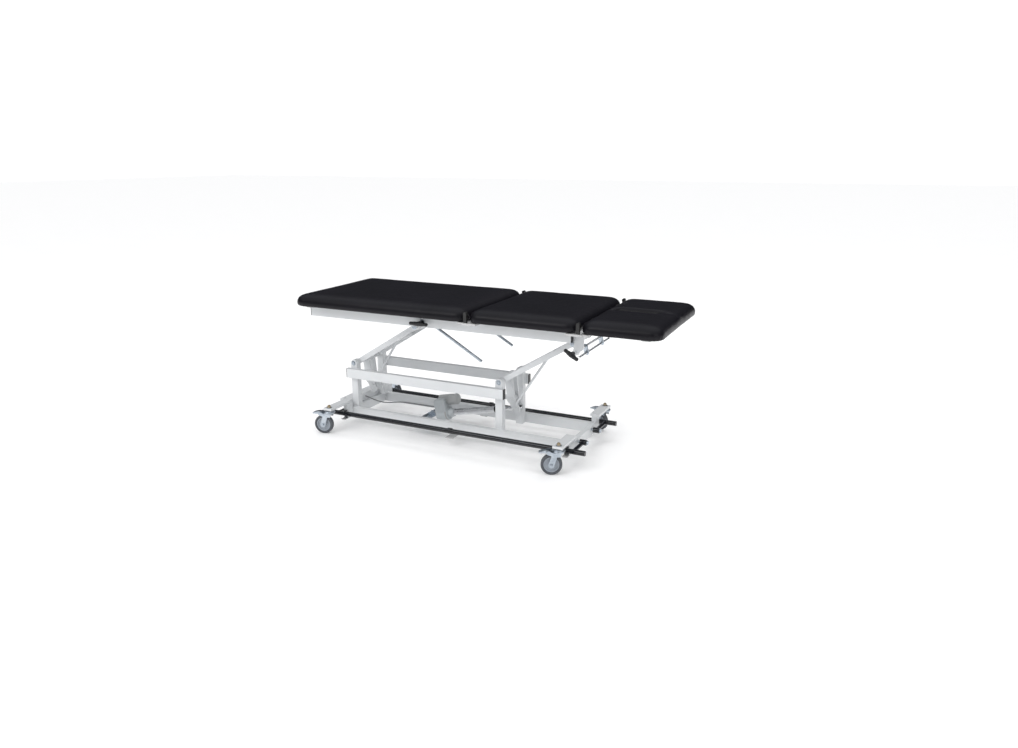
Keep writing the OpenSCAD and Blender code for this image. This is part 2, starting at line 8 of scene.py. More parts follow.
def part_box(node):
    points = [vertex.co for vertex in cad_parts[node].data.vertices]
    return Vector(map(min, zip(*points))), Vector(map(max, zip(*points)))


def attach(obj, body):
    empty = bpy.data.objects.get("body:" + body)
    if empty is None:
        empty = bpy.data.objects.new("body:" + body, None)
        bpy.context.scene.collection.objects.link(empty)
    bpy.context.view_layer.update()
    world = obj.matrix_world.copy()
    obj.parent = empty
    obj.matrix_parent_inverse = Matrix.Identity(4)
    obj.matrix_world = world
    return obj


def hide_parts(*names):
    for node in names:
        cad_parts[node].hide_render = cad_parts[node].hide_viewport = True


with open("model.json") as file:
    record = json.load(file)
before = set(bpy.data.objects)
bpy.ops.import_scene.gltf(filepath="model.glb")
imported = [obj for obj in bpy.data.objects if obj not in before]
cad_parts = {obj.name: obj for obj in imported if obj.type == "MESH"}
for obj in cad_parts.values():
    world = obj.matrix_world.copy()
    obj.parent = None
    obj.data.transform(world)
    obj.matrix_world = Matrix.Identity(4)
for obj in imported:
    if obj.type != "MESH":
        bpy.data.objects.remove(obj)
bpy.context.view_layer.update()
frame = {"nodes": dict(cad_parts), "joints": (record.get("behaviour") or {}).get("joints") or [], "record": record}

NODES = frame["nodes"]
JOINT = {j["name"]: j for j in frame["joints"]}
MM = 0.001


# ---------- Camera, light and floor ----------

def look_along(ob, place, forward):
    """Puts ob at place, with its -Z along forward and +Y up."""
    ob.location = place
    ob.rotation_mode = "QUATERNION"
    ob.rotation_quaternion = Vector(forward).to_track_quat("-Z", "Y")


def link(ob):
    bpy.context.scene.collection.objects.link(ob)
    return ob


camera = link(bpy.data.objects.new("camera", bpy.data.cameras.new("camera")))
camera.data.sensor_width = 36
camera.data.lens = 27.65
look_along(camera, (1.73896, -3.44236, 1.42157), (-0.41254, 0.86959, -0.27135))
bpy.context.scene.camera = camera


def area_light(name, place, target, size, power, mirrored=True):
    data = bpy.data.lights.new(name, "AREA")
    data.shape = "RECTANGLE"
    data.size, data.size_y = size
    data.energy = power
    ob = link(bpy.data.objects.new(name, data))
    ob.visible_glossy = mirrored
    look_along(ob, place, Vector(target) - Vector(place))


area_light("key", (-1.6, -3.6, 3.4), (0, 0, 0.5), (2.6, 1.8), 62)
area_light("fill", (3.6, -2.2, 1.9), (0.2, 0, 0.45), (1.6, 2.0), 16)
area_light("rim", (0.6, 3.0, 2.6), (0, 0, 0.6), (3.0, 0.9), 26, mirrored=False)


def make_world():
    """White to the camera, dimmer at the horizon for light, dark low down for mirroring."""
    world = bpy.data.worlds.new("studio")
    bpy.context.scene.world = world
    world.use_nodes = True
    tree = world.node_tree
    tree.nodes.clear()
    out = tree.nodes.new("ShaderNodeOutputWorld")
    back = tree.nodes.new("ShaderNodeBackground")
    split = tree.nodes.new("ShaderNodeSeparateXYZ")
    place = tree.nodes.new("ShaderNodeTexCoord")
    path = tree.nodes.new("ShaderNodeLightPath")
    tree.links.new(place.outputs["Generated"], split.inputs[0])

    def gradient(low, low_colour, high, high_colour):
        """Colour by height in the sky, from 0 at the horizon to 1 overhead."""
        n = tree.nodes.new("ShaderNodeValToRGB")
        first, last = n.color_ramp.elements
        first.position, first.color = low, (*low_colour, 1)
        last.position, last.color = high, (*high_colour, 1)
        tree.links.new(split.outputs["Z"], n.inputs[0])
        return n.outputs[0]

    def choose(ray, base):
        n = tree.nodes.new("ShaderNodeMix")
        n.data_type = "RGBA"
        tree.links.new(path.outputs[ray], n.inputs[0])
        tree.links.new(base, n.inputs[6])
        return n

    sky = choose("Is Camera Ray", gradient(0.0, (0.3, 0.31, 0.33), 0.75, (1.0, 1.0, 1.0)))
    sky.inputs[7].default_value = (1.0, 1.0, 1.0, 1)
    mirrored = choose("Is Glossy Ray", sky.outputs[2])
    tree.links.new(gradient(0.45, (0.018, 0.019, 0.023), 0.95, (0.8, 0.82, 0.86)), mirrored.inputs[7])
    tree.links.new(mirrored.outputs[2], back.inputs["Color"])
    back.inputs["Strength"].default_value = 1.24
    tree.links.new(back.outputs[0], out.inputs[0])


make_world()
bpy.context.scene.view_settings.view_transform = "Standard"


# ---------- Materials ----------

class Shader:
    """A material whose Principled inputs are set or fed by small texture chains."""

    def __init__(self, name, **values):
        self.mat = bpy.data.materials.new(name)
        self.mat.use_nodes = True
        self.tree = self.mat.node_tree
        self.bsdf = self.tree.nodes["Principled BSDF"]
        self.coords = self.node("ShaderNodeTexCoord").outputs["Object"]
        for key, value in values.items():
            self.bsdf.inputs[key.replace("_", " ")].default_value = value

    def node(self, kind, inputs=None, **props):
        n = self.tree.nodes.new(kind)
        for key, value in props.items():
            setattr(n, key, value)
        for key, value in (inputs or {}).items():
            if isinstance(value, bpy.types.NodeSocket):
                self.tree.links.new(value, n.inputs[key])
            else:
                n.inputs[key].default_value = value
        return n

    def stretched(self, scale):
        return self.node("ShaderNodeMapping", {"Vector": self.coords, "Scale": scale}).outputs[0]

    def noise(self, scale, detail=4, rough=0.5, vector=None):
        return self.node("ShaderNodeTexNoise", {"Vector": vector or self.coords, "Scale": scale,
                         "Detail": detail, "Roughness": rough}).outputs["Fac"]

    def cells(self, scale, feature="DISTANCE_TO_EDGE"):
        return self.node("ShaderNodeTexVoronoi", {"Vector": self.coords, "Scale": scale},
                         feature=feature).outputs["Distance"]

    def ramp(self, fac, stops):
        n = self.node("ShaderNodeValToRGB", {"Fac": fac})
        ramp = n.color_ramp
        while len(ramp.elements) < len(stops):
            ramp.elements.new(0.5)
        for e, (pos, value) in zip(ramp.elements, stops):
            e.position = pos
            e.color = (*value, 1) if isinstance(value, tuple) else (value, value, value, 1)
        return n.outputs[0]

    def feed(self, name, socket):
        self.tree.links.new(socket, self.bsdf.inputs[name])

    def relief(self, *layers, edge=0.0):
        """Bump layers of (height, strength, distance), over edges rounded by edge metres."""
        normal = None
        if edge:
            normal = self.node("ShaderNodeBevel", {"Radius": edge}, samples=4).outputs[0]
        for height, strength, distance in layers:
            inputs = {"Height": height, "Strength": strength, "Distance": distance}
            if normal:
                inputs["Normal"] = normal
            normal = self.node("ShaderNodeBump", inputs).outputs[0]
        self.feed("Normal", normal)


def enamel(name, light, dark, rough, coat=0.0, edge=1.2 * MM):
    s = Shader(name, Coat_Weight=coat, Coat_Roughness=0.12)
    cloud = s.noise(3.5, 3)
    s.feed("Base Color", s.ramp(cloud, [(0.3, dark), (0.7, light)]))
    scuff = s.noise(45, 6, 0.7)
    s.feed("Roughness", s.ramp(scuff, [(0.35, rough - 0.06), (0.75, rough + 0.1)]))
    s.relief((s.noise(420, 2), 0.12, 0.15 * MM), edge=edge)
    return s.mat


def deck_enamel():
    """Grey enamel on the flat bars, and painted shade on the hinge lugs that stand above them: the lugs are
    coloured very dark to stand for the shade in the notches between the pads.
    """
    s = Shader("deck_enamel")
    height = s.node("ShaderNodeSeparateXYZ", {0: s.coords}).outputs["Z"]
    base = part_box("seat_board")[0].z
    # Painted shade: everything above the deck's underside, that is the hinge lugs, takes a very dark colour that
    # stands for the shade in the notches between the pads.
    painted_shade_mask = s.node("ShaderNodeMath", {0: height, 1: base + 1 * MM}, operation="GREATER_THAN").outputs[0]
    grey = s.ramp(s.noise(3.5, 3), [(0.3, 0.47), (0.7, 0.55)])
    painted_shade_colour = s.ramp(s.noise(30, 3), [(0.3, 0.012), (0.7, 0.02)])
    mix = s.node("ShaderNodeMix", {0: painted_shade_mask, 6: grey, 7: painted_shade_colour}, data_type="RGBA")
    s.feed("Base Color", mix.outputs[2])
    s.feed("Roughness", s.ramp(s.noise(45, 6, 0.7), [(0.35, 0.36), (0.75, 0.52)]))
    s.relief((s.noise(420, 2), 0.12, 0.15 * MM), edge=1.2 * MM)
    return s.mat


def metal(name, light, dark, rough, along=(1, 1, 1), edge=0.8 * MM):
    s = Shader(name, Metallic=1.0)
    grain = s.noise(160, 5, 0.65, s.stretched(along))
    blotch = s.noise(24, 5, 0.6)
    s.feed("Base Color", s.ramp(blotch, [(0.3, dark), (0.7, light)]))
    s.feed("Roughness", s.ramp(grain, [(0.3, rough - 0.07), (0.75, rough + 0.1)]))
    s.relief((grain, 0.15, 0.05 * MM), edge=edge)
    return s.mat


def plastic(name, light, dark, rough, grain=900, edge=0.8 * MM):
    s = Shader(name)
    s.feed("Base Color", s.ramp(s.noise(9, 4), [(0.3, dark), (0.7, light)]))
    s.feed("Roughness", s.ramp(s.noise(60, 5, 0.7), [(0.3, rough - 0.05), (0.7, rough + 0.08)]))
    s.relief((s.noise(grain, 2), 0.2, 0.1 * MM), edge=edge)
    return s.mat


def vinyl():
    s = Shader("vinyl", IOR=1.3)
    grain = s.cells(520)
    fine = s.noise(1900, 3, 0.6)
    tint = [(0.3, (0.0042, 0.0038, 0.0058)), (0.7, (0.0066, 0.006, 0.009))]
    s.feed("Base Color", s.ramp(s.noise(5, 4), tint))
    s.feed("Roughness", s.ramp(s.noise(30, 5, 0.6), [(0.3, 0.34), (0.7, 0.43)]))
    pebble = s.ramp(grain, [(0.0, 0.0), (0.12, 0.8), (0.4, 1.0)])
    s.relief((s.noise(14, 3), 0.12, 1.5 * MM), (pebble, 0.3, 0.22 * MM), (fine, 0.15, 0.08 * MM))
    return s.mat


def dust_cloth():
    s = Shader("dust_cloth", Sheen_Weight=0.15, Roughness=0.95)
    fibre = s.noise(260, 6, 0.8)
    s.feed("Base Color", s.ramp(fibre, [(0.3, 0.008), (0.7, 0.02)]))
    s.relief((fibre, 0.6, 0.3 * MM))
    return s.mat


def rubber():
    s = Shader("tyre_rubber")
    tint = [(0.3, (0.055, 0.06, 0.07)), (0.7, (0.1, 0.108, 0.12))]
    s.feed("Base Color", s.ramp(s.noise(25, 5, 0.7), tint))
    s.feed("Roughness", s.ramp(s.noise(90, 5, 0.7), [(0.3, 0.5), (0.7, 0.72)]))
    s.relief((s.noise(700, 3), 0.3, 0.12 * MM))
    return s.mat


WHITE = enamel("white_enamel", (0.69, 0.705, 0.715), (0.64, 0.655, 0.67), 0.34, 0.1)
# Deck enamel, with painted shade on the hinge lugs.
DECK_GREY_AND_PAINTED_SHADE = deck_enamel()
BLACK = enamel("black_enamel", (0.006, 0.007, 0.011), (0.004, 0.0045, 0.007), 0.22, 0.15)
ZINC = metal("zinc_plate", (0.58, 0.63, 0.68), (0.4, 0.45, 0.51), 0.3)
ROD = metal("bright_rod", (0.82, 0.83, 0.85), (0.72, 0.73, 0.75), 0.14)
ALLOY = metal("drawn_aluminium", (0.78, 0.79, 0.81), (0.66, 0.67, 0.69), 0.3, (0.05, 1, 1))
BRONZE = metal("yellow_passivate", (0.55, 0.44, 0.28), (0.38, 0.3, 0.2), 0.34)
SHELL = plastic("grey_plastic", (0.5, 0.53, 0.545), (0.42, 0.45, 0.465), 0.4)
BROWN = plastic("motor_cover", (0.31, 0.295, 0.275), (0.23, 0.215, 0.2), 0.45)
MOTOR = plastic("motor_can", (0.44, 0.45, 0.45), (0.36, 0.37, 0.37), 0.36)
CABLE = plastic("cable_jacket", (0.22, 0.23, 0.24), (0.16, 0.165, 0.17), 0.45)
JET = plastic("black_plastic", (0.013, 0.013, 0.015), (0.007, 0.007, 0.009), 0.38)
HUB = plastic("hub_plastic", (0.36, 0.39, 0.43), (0.28, 0.31, 0.35), 0.42)
VINYL = vinyl()
CLOTH = dust_cloth()
TYRE = rubber()

BY_SLOT = {
    "white_enamel": WHITE, "light_grey_enamel": DECK_GREY_AND_PAINTED_SHADE, "zinc_plate": ZINC, "steel_rod": ROD,
    "aluminium_tube": ALLOY, "grey_plastic": SHELL, "black_plastic": JET, "black_enamel": BLACK,
    "black_vinyl": VINYL, "plywood": CLOTH, "caster_rubber": TYRE,
}
for part in frame["record"]["subparts"]:
    mesh = NODES[part["node"]].data
    mesh.materials.clear()
    mesh.materials.append(CABLE if part["node"] == "actuator_cable" else BY_SLOT[part["material_slot"]])


def floor():
    s = Shader("floor", Roughness=0.6, Emission_Color=(1, 1, 1, 1), Emission_Strength=0.1)
    s.feed("Base Color", s.ramp(s.noise(2, 3), [(0.3, 0.92), (0.7, 0.94)]))
    mesh = bpy.data.meshes.new("floor")
    mesh.from_pydata([(-40, -40, 0), (40, -40, 0), (40, 40, 0), (-40, 40, 0)], [], [(0, 1, 2, 3)])
    mesh.materials.append(s.mat)
    link(bpy.data.objects.new("floor", mesh))


floor()


# ---------- Mesh helpers ----------

def piece(name, verts, faces, mat, body, smooth=True):
    mesh = bpy.data.meshes.new(name)
    mesh.from_pydata([tuple(v) for v in verts], [], faces)
    bm = bmesh.new()
    bm.from_mesh(mesh)
    bmesh.ops.remove_doubles(bm, verts=bm.verts, dist=1e-6)
    bmesh.ops.recalc_face_normals(bm, faces=bm.faces)
    bm.to_mesh(mesh)
    bm.free()
    mesh.materials.append(mat)
    if smooth:
        mesh.shade_smooth()
        mesh.set_sharp_from_angle(angle=math.radians(35))
    ob = link(bpy.data.objects.new(name, mesh))
    if body:
        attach(ob, body)
    return ob


def frame_of(axis):
    z = Vector(axis).normalized()
    x = z.orthogonal().normalized()
    if abs(z.z) < 0.9:
        x = Vector((0, 0, 1)).cross(z).normalized()
    return Matrix((x, z.cross(x), z)).transposed()


def lathe(name, origin, axis, profile, mat, body, steps=48):
    """Turns a closed or end-on-axis profile of (radius, height) about an axis."""
    turn = frame_of(axis)
    verts, faces = [], []
    for r, h in profile:
        for k in range(steps):
            a = 2 * math.pi * k / steps
            verts.append(Vector(origin) + turn @ Vector((r * math.cos(a), r * math.sin(a), h)))
    for i in range(len(profile) - 1):
        for k in range(steps):
            m = (k + 1) % steps
            faces.append((i * steps + k, i * steps + m, (i + 1) * steps + m, (i + 1) * steps + k))
    return piece(name, verts, faces, mat, body)


def arc(cx, cy, r, start, end, n=6):
    """Points of an arc, from start to end degrees."""
    return [(cx + r * math.cos(math.radians(start + (end - start) * k / n)),
             cy + r * math.sin(math.radians(start + (end - start) * k / n))) for k in range(n + 1)]


def rod(name, p, q, r, mat, body, steps=32):
    """A rod from p to q with rounded ends, closed on its axis."""
    p, q = Vector(p), Vector(q)
    long = (q - p).length
    b = 0.12 * r
    profile = [(1e-7, 0)] + arc(r - b, b, b, -90, 0) + arc(r - b, long - b, b, 0, 90) + [(1e-7, long)]
    return lathe(name, p, q - p, profile, mat, body, steps)


def prism(first, last):
    """Closed mesh data between two outlines of equal length."""
    n = len(first)
    faces = [tuple(range(n)), tuple(range(n, 2 * n))]
    faces += [(k, (k + 1) % n, n + (k + 1) % n, n + k) for k in range(n)]
    return [*first, *last], faces


def slab(name, outline, y0, y1, mat, body, bevel=1.5 * MM):
    """A plate across Y with an (x, z) outline and rounded edges."""
    verts, faces = prism([(x, y0, z) for x, z in outline], [(x, y1, z) for x, z in outline])
    ob = piece(name, verts, faces, mat, body, smooth=False)
    soften(ob, bevel)
    return ob


def soften(ob, width, segments=3):
    mod = ob.modifiers.new("edge", "BEVEL")
    mod.width = width
    mod.segments = segments
    mod.limit_method = "ANGLE"
    mod.angle_limit = math.radians(40)
    apply_modifiers(ob)
    ob.data.shade_smooth()
    ob.data.set_sharp_from_angle(angle=math.radians(35))


def apply_modifiers(ob):
    graph = bpy.context.evaluated_depsgraph_get()
    mesh = bpy.data.meshes.new_from_object(ob.evaluated_get(graph))
    old = ob.data
    ob.modifiers.clear()
    ob.data = mesh
    bpy.data.meshes.remove(old)


def oval(p, q, r, n=10):
    """Outline of a strip with round ends between p and q, in a plane."""
    a = math.degrees(math.atan2(q[1] - p[1], q[0] - p[0]))
    return arc(*q, r, a - 90, a + 90, n) + arc(*p, r, a + 90, a + 270, n)


# ---------- Pads ----------

PAD_PROFILE = [  # (height above the pad's underside, how far the outline is drawn in), mm
    (0.8, 14), (0.9, 6.5), (3, 3.2), (8, 1.2), (16, 0.3), (24, 0.6), (32, 2.6), (39, 6.4), (45, 12),
    (50, 19),
    (54, 28), (57.5, 40), (60, 56), (61.5, 76), (62, 100),
]
CORNER = 55 * MM
SHRINK = 1.0 * MM


def pad_outline(x0, x1, w, inset, n=14):
    r = max(CORNER - inset, 8 * MM)
    points = []
    for cx, cy, a in ((x1, w, 0), (x0, w, 90), (x0, -w, 180), (x1, -w, 270)):
        sx = -1 if cx == x1 else 1
        sy = -1 if cy == w else 1
        reach = max(CORNER, inset + r)
        points += arc(cx + sx * reach, cy + sy * reach, r, a, a + 90, n)
    return points


def shells(rings):
    """Closed mesh data through rings of equal length, capped at both ends."""
    n = len(rings[0])
    verts = [v for ring in rings for v in ring]
    faces = [tuple(range(n))[::-1], tuple(range((len(rings) - 1) * n, len(rings) * n))]
    for a in range(0, (len(rings) - 1) * n, n):
        faces += [(a + k, a + (k + 1) % n, a + n + (k + 1) % n, a + n + k) for k in range(n)]
    return verts, faces


def slot_cutter(x0, x1, half, z0, z1):
    """The breathing slot, which flares into a soft lip at the top and the underside."""
    rings = []
    flare = [(-6, 12), (0, 9), (4, 3), (10, 0), (38, 0),
             (47, 2), (54, 7), (59, 15), (63, 27), (70, 34)]
    for dz, out in flare:
        r = half + out * MM
        p, q = (x0 + half, 0), (x1 - half, 0)
        rings.append([(x, y, z0 + dz * MM) for x, y in oval(p, q, r, 14)])
    verts, faces = shells(rings)
    return piece("slot_cutter", verts, faces, CLOTH, None)


def swell(ob, cap):
    """Lets the cover fill under pressure, and keeps each point within cap of its start."""
    frames = 20
    start = [v.co.copy() for v in ob.data.vertices]
    mod = ob.modifiers.new("cover", "CLOTH")
    mod.settings.quality = 4
    mod.settings.mass = 0.3
    mod.settings.tension_stiffness = 40
    mod.settings.compression_stiffness = 40
    mod.settings.bending_stiffness = 4
    mod.settings.use_pressure = True
    mod.settings.uniform_pressure_force = 4
    mod.settings.effector_weights.gravity = 0
    mod.collision_settings.use_collision = False
    scene = bpy.context.scene
    mod.point_cache.frame_start, mod.point_cache.frame_end = 1, frames
    for f in range(1, frames + 1):
        scene.frame_set(f)
    graph = bpy.context.evaluated_depsgraph_get()
    moved = [v.co.copy() for v in ob.evaluated_get(graph).data.vertices]
    ob.modifiers.clear()
    scene.frame_set(1)
    for v, a, b in zip(ob.data.vertices, start, moved):
        step = b - a
        v.co = a + step * min(1, cap / max(step.length, 1e-9))


def make_pad(name, node, board, body, hole=None):
    low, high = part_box(node)
    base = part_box(board)[0].z
    x0, x1, w = low.x, high.x, high.y
    rings = []
    for dz, inset in PAD_PROFILE:
        d = inset * MM + SHRINK
        rings.append([(x, y, base + dz * MM) for x, y in pad_outline(x0, x1, w, d)])
    verts, faces = shells(rings)
    ob = piece(name, verts, faces, VINYL, None)
    if hole:
        cutter = slot_cutter(*hole, base, high.z)
        cut = ob.modifiers.new("slot", "BOOLEAN")
        cut.object = cutter
        cut.operation = "DIFFERENCE"
        cut.solver = "EXACT"
        apply_modifiers(ob)
        bpy.data.objects.remove(cutter)
    even = ob.modifiers.new("remesh", "REMESH")
    even.mode = "VOXEL"
    even.voxel_size = 8 * MM
    apply_modifiers(ob)
    swell(ob, 3 * MM)
    smooth = ob.modifiers.new("smooth", "SMOOTH")
    smooth.iterations = 3
    finer = ob.modifiers.new("finer", "SUBSURF")
    finer.levels = finer.render_levels = 1
    apply_modifiers(ob)
    shape_cover(ob, low, high, base)
    ob.data.materials.clear()
    ob.data.materials.append(VINYL)
    ob.data.materials.append(CLOTH)
    for face in ob.data.polygons:
        under = face.normal.z < -0.8 and face.center.z < base + 3 * MM
        face.material_index = 1 if under else 0
    ob.data.shade_smooth()
    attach(ob, body)
    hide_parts(node, board)


def shape_cover(ob, low, high, base):
    """Pleats under the corners, the top held to at most 2 mm above the pad, and the underside kept flat on the
    deck.
    """
    w, x0, x1 = high.y, low.x, high.x
    mid = (x0 + x1) / 2
    for v in ob.data.vertices:
        x, y, z = v.co
        sx = 1 if x > mid else -1
        sy = 1 if y > 0 else -1
        cx = (x1 - CORNER) if sx > 0 else (x0 + CORNER)
        cy = sy * (w - CORNER)
        dx, dy = (x - cx) * sx, (y - cy) * sy
        if dx > 0 and dy > 0 and math.hypot(dx, dy) > 0.6 * CORNER:
            a = math.atan2(dy, dx)
            low_part = max(0, min(1, (base + 27 * MM - z) / (20 * MM)))
            fold = math.sin(a * 2) ** 0.5 * abs(math.cos(a * 9))
            push = 1.9 * MM * low_part * (fold - 0.75)
            d = Vector((dx * sx, dy * sy, 0)).normalized()
            v.co += d * push
        v.co.z = max(v.co.z, base + 0.6 * MM)
        v.co.z = min(v.co.z, high.z + 2 * MM)


record_openings = {o["name"]: o["box_m"] for o in frame["record"]["physics"]["openings"]}
slot_low, slot_high = record_openings["breathing_slot"]
SLOT = (slot_low[0] - 22 * MM, slot_high[0] + 22 * MM, slot_high[1] + 1 * MM)
make_pad("leg_cushion", "leg_pad", "leg_board", "leg_section")
make_pad("seat_cushion", "seat_pad", "seat_board", "top_frame")
make_pad("head_cushion", "head_pad", "head_board", "head_section", SLOT)


# ---------- Casters ----------

def local_axis(joint):
    return Vector(JOINT[joint]["pos_m"]), Vector(JOINT[joint]["axis"]).normalized()


def make_wheel(i):
    body = f"caster_{i}_roll"
    node = f"caster_{i}_wheel"
    centre, axis = local_axis(f"caster_{i}_spin")
    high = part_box(node)[1]
    r = high.z - centre.z
    w = 14 * MM
    inner = r - 13 * MM
    tread = ([(inner, -w + 4 * MM), (inner + 3 * MM, -w + 1 * MM)]
             + arc(r - 7 * MM, -w + 7 * MM, 7 * MM, -90, -8)
             + [(r, -2 * MM), (r, 2 * MM)] + arc(r - 7 * MM, w - 7 * MM, 7 * MM, 8, 90)
             + [(inner + 3 * MM, w - 1 * MM), (inner, w - 4 * MM), (inner, -w + 4 * MM)])
    tyre = lathe(f"caster_{i}_tyre", centre, axis, tread, TYRE, body, 96)
    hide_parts(node)
    rim = [(inner, -w + 4.5 * MM), (inner - 2 * MM, -w + 3 * MM), (inner - 5 * MM, -w + 3.5 * MM),
           (inner - 8 * MM, -w + 9 * MM), (15 * MM, -w + 10 * MM), (13 * MM, -w + 1 * MM),
           (11 * MM, -w - 1.5 * MM), (5.2 * MM, -w - 2 * MM)]
    rim += [(a, -h) for a, h in reversed(rim)] + [rim[0]]
    lathe(f"caster_{i}_hub", centre, axis, rim, HUB, body, 72)
    side = frame_of(axis)
    ribs = 6
    for k in range(ribs):
        a = 2 * math.pi * k / ribs
        out = side @ Vector((math.cos(a), math.sin(a), 0))
        rod(f"caster_{i}_rib_{k + 1}", centre + out * 12 * MM, centre + out * (inner - 6.5 * MM),
            4.2 * MM, HUB, body, steps=16)
    for s, tag in ((-1, "a"), (1, "b")):
        hexagon(f"caster_{i}_axle_nut_{tag}", centre + axis * s * 21 * MM, axis * s,
                8.6 * MM, 5.5 * MM, ZINC, f"caster_{i}_swivel")


def hexagon(name, at, axis, r, h, mat, body):
    """A hexagon nut with a stub of thread and a chamfered face."""
    turn = frame_of(axis)
    points = [Vector((math.cos(math.pi * k / 3), math.sin(math.pi * k / 3), 0)) for k in range(6)]
    rings = []
    for wide, up in ((r, 0), (r, h - 1.2 * MM), (0.86 * r, h)):
        rings.append([Vector(at) + turn @ (p * wide + Vector((0, 0, up))) for p in points])
    verts, faces = shells(rings)
    nut = piece(name, verts, faces, mat, body, smooth=False)
    soften(nut, 0.5 * MM, 2)
    rod(name + "_thread", Vector(at) + Vector(axis).normalized() * (h - 1 * MM),
        Vector(at) + Vector(axis).normalized() * (h + 1.8 * MM), 0.45 * r, mat, body, steps=20)
    return nut


def make_swivel(i):
    """Raceway rings on top of the fork, and a shaped toe pedal."""
    body = f"caster_{i}_swivel"
    pivot = Vector(JOINT[f"caster_{i}_turn"]["pos_m"])
    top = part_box(f"caster_{i}_fork")[1].z
    race = ([(12 * MM, -3 * MM), (26 * MM, -3 * MM)]
            + arc(25.5 * MM, -8 * MM, 5 * MM, 80, -80)
            + [(23 * MM, -15 * MM), (12 * MM, -15 * MM), (12 * MM, -3 * MM)])
    lathe(f"caster_{i}_raceway", (pivot.x, pivot.y, top), (0, 0, 1), race, ZINC, body, 64)
    pin, axis = local_axis(f"caster_{i}_press")
    back = Vector((pin.x - pivot.x, pin.y - pivot.y, 0)).normalized()
    across = Vector((-back.y, back.x, 0))
    outline = [  # (back from the pin, height, half width), mm
        (-8, -4.5, 12), (-6, 5.5, 13), (4, 10, 14.5), (12, 11, 13.5), (22, 8.6, 15), (32, 5, 17),
        (40, 2.4, 17), (45.4, 0.6, 15), (45.6, -2.4, 14.5), (40, -3.2, 16), (30, -2.5, 16),
        (20, -3.2, 15), (10, -3.8, 13), (0, -6.5, 12)]
    sides = [[pin + back * a * MM + Vector((0, 0, h * MM)) + across * s * w * MM
              for a, h, w in outline] for s in (-1, 1)]
    verts, faces = prism(*sides)
    pedal = piece(f"caster_{i}_pedal_shell", verts, faces, ZINC, f"caster_{i}_pedal",
                  smooth=False)
    soften(pedal, 1.6 * MM)
    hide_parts(f"caster_{i}_brake")
    for k in range(4):
        c = pin + back * (26 + 4.6 * k) * MM + Vector((0, 0, (7.4 - 1.7 * k) * MM))
        rod(f"caster_{i}_pedal_grip_{k + 1}", c - across * 12 * MM, c + across * 12 * MM, 1.3 * MM, ZINC,
            f"caster_{i}_pedal", steps=12)


for i in range(1, 5):
    make_wheel(i)
    make_swivel(i)
    x, y, _ = JOINT[f"caster_{i}_turn"]["pos_m"]
    outrigger_top = 140 * MM
    dome = [(9.5 * MM, 0), (9.5 * MM, 7 * MM)] + arc(0, 7 * MM, 8.5 * MM, 0, 88, 8) + [(1e-7, 15.5 * MM)]
    lathe(f"caster_{i}_acorn", (x, y, outrigger_top + 1 * MM), (0, 0, 1), dome, BRONZE, "root")
    washer = [(5 * MM, 0), (13.5 * MM, 0), (14 * MM, 0.5 * MM), (14 * MM, 1.4 * MM),
              (13.5 * MM, 1.9 * MM), (5 * MM, 1.9 * MM), (5 * MM, 0)]
    lathe(f"caster_{i}_washer", (x, y, outrigger_top), (0, 0, 1), washer, ZINC, "root")


# ---------- Handles ----------

def t_handle(name, centre, slope, half, shaft_end, body):
    """A moulded T-grip with finger ridges and a collar, on its shaft."""
    d = Vector((math.cos(slope), 0, math.sin(slope)))
    c = Vector(centre)
    r = 9 * MM
    profile = [(1e-7, -half)] + arc(0, -half + r, r, -89, -20, 8)
    steps = 36
    for k in range(steps + 1):
        h = -half + r + (2 * half - 2 * r) * k / steps
        belly = 0.32 * math.sin(math.pi * k / steps) ** 2
        profile.append((r * (0.95 + belly + 0.04 * math.cos(8 * math.pi * k / steps)), h))
    profile += arc(0, half - r, r, 20, 89, 8) + [(1e-7, half)]
    grip = lathe(name + "_grip", c, d, profile, JET, body, 40)
    collar = [(1e-7, 0), (9 * MM, 0), (11.5 * MM, 6 * MM), (12 * MM, 18 * MM), (10.5 * MM, 27 * MM),
              (8 * MM, 28 * MM), (1e-7, 28 * MM)]
    lathe(name + "_collar", c, (0, 1, 0), collar, JET, body)
    shaft = c + Vector((0, 26 * MM, 0))
    rod(name + "_shaft", shaft, (c.x, shaft_end, c.z), 6 * MM, ROD, body)
    return grip


lock = Vector(JOINT["lock_handle_turn"]["pos_m"])
lock_low, lock_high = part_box("leg_lock_handle")
lock_y = lock_low.y + 10 * MM
lock_grip = t_handle("lock_handle", (lock.x, lock_y, lock.z), 0, 52 * MM, lock_high.y,
                     "lock_handle")
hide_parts("leg_lock_handle")
disc = [(1e-7, 0), (26.5 * MM, 0), (28 * MM, 1.5 * MM), (28 * MM, 3.5 * MM), (26.5 * MM, 5 * MM),
        (1e-7, 5 * MM)]
lathe("lock_handle_disc", (lock.x, lock_high.y - 5 * MM, lock.z), (0, 1, 0), disc, ZINC,
      "lock_handle")
rail_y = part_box("top_rail_near")[0].y
washer = [(7 * MM, 0), (16 * MM, 0), (16.5 * MM, 1 * MM), (16 * MM, 2 * MM), (7 * MM, 2 * MM),
          (7 * MM, 0)]
lathe("lock_handle_washer", (lock.x, rail_y - 2.2 * MM, lock.z), (0, 1, 0), washer, ZINC,
      "lock_handle")

